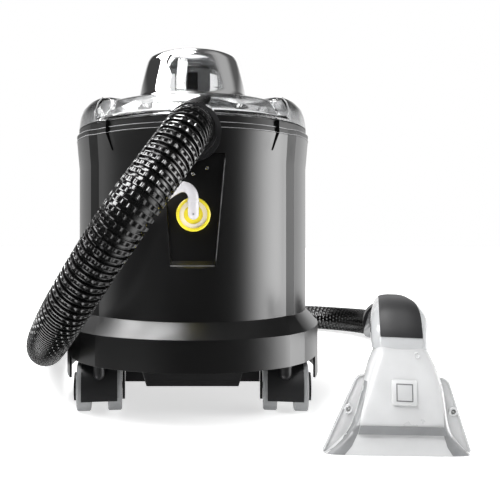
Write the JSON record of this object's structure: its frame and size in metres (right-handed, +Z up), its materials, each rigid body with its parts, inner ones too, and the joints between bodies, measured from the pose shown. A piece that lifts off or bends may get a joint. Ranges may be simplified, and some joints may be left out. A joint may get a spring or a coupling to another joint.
{
  "type": "canister carpet cleaner",
  "caption": "Canister carpet cleaner on twin-wheel casters with a clear tank lid and dome, a ribbed suction hose and a clear upholstery tool.",
  "frame": {"origin": "the machine's upright axis at floor level, midway between the four caster stems", "axes": "+Z up, -Y out of the hose inlet (the front), +X to the right seen from the front"},
  "size_m": [0.6801, 0.8784, 0.474],
  "materials": {
    "body_black": "satin",
    "trim_black": "fine texture",
    "rocker_black": "gloss",
    "rubber_black": "matt",
    "clear": "clear gloss plastic",
    "cage_grey": "satin",
    "steel": "satin",
    "impeller_alloy": "satin",
    "yellow": "gloss",
    "cream": "gloss",
    "white": "gloss",
    "tread_grey": "matt"
  },
  "bodies": {
    "machine": {"base_chassis": "trim_black", "caster_stems": "steel", "clean_tank": "cage_grey", "cord_gland": "trim_black", "coupling_nose": "cream", "coupling_seal": "yellow", "elbow_fitting": "white", "exhaust_grille": "trim_black", "float_cage": "cage_grey", "grip_cover": "rubber_black", "handle_left": "cage_grey", "handle_right": "cage_grey", "hose_inlet_flange": "trim_black", "inlet_duct": "trim_black", "machine_hose_cuff": "trim_black", "motor_housing": "trim_black", "motor_stator": "steel", "outer_casing": "body_black", "pocket_screws": "steel", "pump": "trim_black", "recovery_tank": "body_black", "rim_gasket": "rubber_black", "solution_tube": "white", "spray_jet": "trim_black", "spray_valve": "trim_black", "suction_hose": "rubber_black", "switch_bezel": "trim_black", "tool_badge_pad": "rubber_black", "tool_hood_front": "clear", "tool_hood_rear": "clear", "tool_hose_cuff": "trim_black", "tool_screws": "steel", "trigger_pin": "steel"},
    "lid": {"tank_lid": "clear", "dome_gasket": "rubber_black"},
    "dome_cover": {"dome": "clear"},
    "float": {"float_ring": "cage_grey"},
    "rotor": {"motor_rotor": "steel", "impeller": "impeller_alloy"},
    "rocker_switch_left": {"rocker_left": "rocker_black"},
    "rocker_switch_right": {"rocker_right": "rocker_black"},
    "collar": {"coupling_collar": "yellow"},
    "trigger_lever": {"trigger": "trim_black"},
    "plunger": {"valve_plunger": "trim_black"},
    "caster_front_right": {"caster_hood_front_right": "trim_black", "caster_axle_front_right": "trim_black"},
    "roller_front_right_a": {"wheel_front_right_a": "tread_grey"},
    "roller_front_right_b": {"wheel_front_right_b": "tread_grey"},
    "caster_front_left": {"caster_hood_front_left": "trim_black", "caster_axle_front_left": "trim_black"},
    "roller_front_left_a": {"wheel_front_left_a": "tread_grey"},
    "roller_front_left_b": {"wheel_front_left_b": "tread_grey"},
    "caster_rear_right": {"caster_hood_rear_right": "trim_black", "caster_axle_rear_right": "trim_black"},
    "roller_rear_right_a": {"wheel_rear_right_a": "tread_grey"},
    "roller_rear_right_b": {"wheel_rear_right_b": "tread_grey"},
    "caster_rear_left": {"caster_hood_rear_left": "trim_black", "caster_axle_rear_left": "trim_black"},
    "roller_rear_left_a": {"wheel_rear_left_a": "tread_grey"},
    "roller_rear_left_b": {"wheel_rear_left_b": "tread_grey"}
  },
  "joints": [
    {"name": "lid_lift", "type": "slide", "parent": "machine", "child": "lid", "axis": [0, 0, 1], "range_m": [0, 0.2]},
    {"name": "dome_lift", "type": "slide", "parent": "lid", "child": "dome_cover", "axis": [0, 0, 1], "range_m": [0, 0.08]},
    {"name": "float_rise", "type": "slide", "parent": "machine", "child": "float", "axis": [0, 0, 1], "range_m": [0, 0.02]},
    {"name": "rotor_spin", "type": "hinge", "parent": "machine", "child": "rotor", "pos_m": [0, 0.022, 0.12], "axis": [0, 0, 1], "continuous": true},
    {"name": "rocker_left_tilt", "type": "hinge", "parent": "machine", "child": "rocker_switch_left", "pos_m": [-0.015, 0.151, 0.166], "axis": [1, 0, 0], "range_deg": [0, 20]},
    {"name": "rocker_right_tilt", "type": "hinge", "parent": "machine", "child": "rocker_switch_right", "pos_m": [0.015, 0.151, 0.166], "axis": [1, 0, 0], "range_deg": [0, 20]},
    {"name": "collar_slide", "type": "slide", "parent": "machine", "child": "collar", "axis": [0, 1, 0], "range_m": [0, 0.002], "stiffness_N_per_m": 300},
    {"name": "trigger_pull", "type": "hinge", "parent": "machine", "child": "trigger_lever", "pos_m": [0.23329, -0.13142, 0.097], "axis": [0.9659, -0.2588, 0], "range_deg": [0, 10], "stiffness_Nm_per_rad": 0.08},
    {"name": "plunger_slide", "type": "slide", "parent": "machine", "child": "plunger", "axis": [0, 0, 1], "range_m": [0, 0.0075]},
    {"name": "swivel_front_right", "type": "hinge", "parent": "machine", "child": "caster_front_right", "pos_m": [0.113, -0.113, 0.05], "axis": [0, 0, 1], "continuous": true},
    {"name": "roll_front_right_a", "type": "hinge", "parent": "caster_front_right", "child": "roller_front_right_a", "pos_m": [0.11519, -0.09513, 0.03], "axis": [0.9925, -0.1219, 0], "continuous": true},
    {"name": "roll_front_right_b", "type": "hinge", "parent": "caster_front_right", "child": "roller_front_right_b", "pos_m": [0.11519, -0.09513, 0.03], "axis": [0.9925, -0.1219, 0], "continuous": true},
    {"name": "swivel_front_left", "type": "hinge", "parent": "machine", "child": "caster_front_left", "pos_m": [-0.113, -0.113, 0.05], "axis": [0, 0, 1], "continuous": true},
    {"name": "roll_front_left_a", "type": "hinge", "parent": "caster_front_left", "child": "roller_front_left_a", "pos_m": [-0.11519, -0.09513, 0.03], "axis": [0.9925, 0.1219, 0], "continuous": true},
    {"name": "roll_front_left_b", "type": "hinge", "parent": "caster_front_left", "child": "roller_front_left_b", "pos_m": [-0.11519, -0.09513, 0.03], "axis": [0.9925, 0.1219, 0], "continuous": true},
    {"name": "swivel_rear_right", "type": "hinge", "parent": "machine", "child": "caster_rear_right", "pos_m": [0.113, 0.113, 0.05], "axis": [0, 0, 1], "continuous": true},
    {"name": "roll_rear_right_a", "type": "hinge", "parent": "caster_rear_right", "child": "roller_rear_right_a", "pos_m": [0.11519, 0.13087, 0.03], "axis": [0.9925, -0.1219, 0], "continuous": true},
    {"name": "roll_rear_right_b", "type": "hinge", "parent": "caster_rear_right", "child": "roller_rear_right_b", "pos_m": [0.11519, 0.13087, 0.03], "axis": [0.9925, -0.1219, 0], "continuous": true},
    {"name": "swivel_rear_left", "type": "hinge", "parent": "machine", "child": "caster_rear_left", "pos_m": [-0.113, 0.113, 0.05], "axis": [0, 0, 1], "continuous": true},
    {"name": "roll_rear_left_a", "type": "hinge", "parent": "caster_rear_left", "child": "roller_rear_left_a", "pos_m": [-0.11519, 0.13087, 0.03], "axis": [0.9925, 0.1219, 0], "continuous": true},
    {"name": "roll_rear_left_b", "type": "hinge", "parent": "caster_rear_left", "child": "roller_rear_left_b", "pos_m": [-0.11519, 0.13087, 0.03], "axis": [0.9925, 0.1219, 0], "continuous": true}
  ],
  "couplings": [
    {"joint": "plunger_slide", "follows": "trigger_pull", "m_per_rad": 0.04}
  ]
}
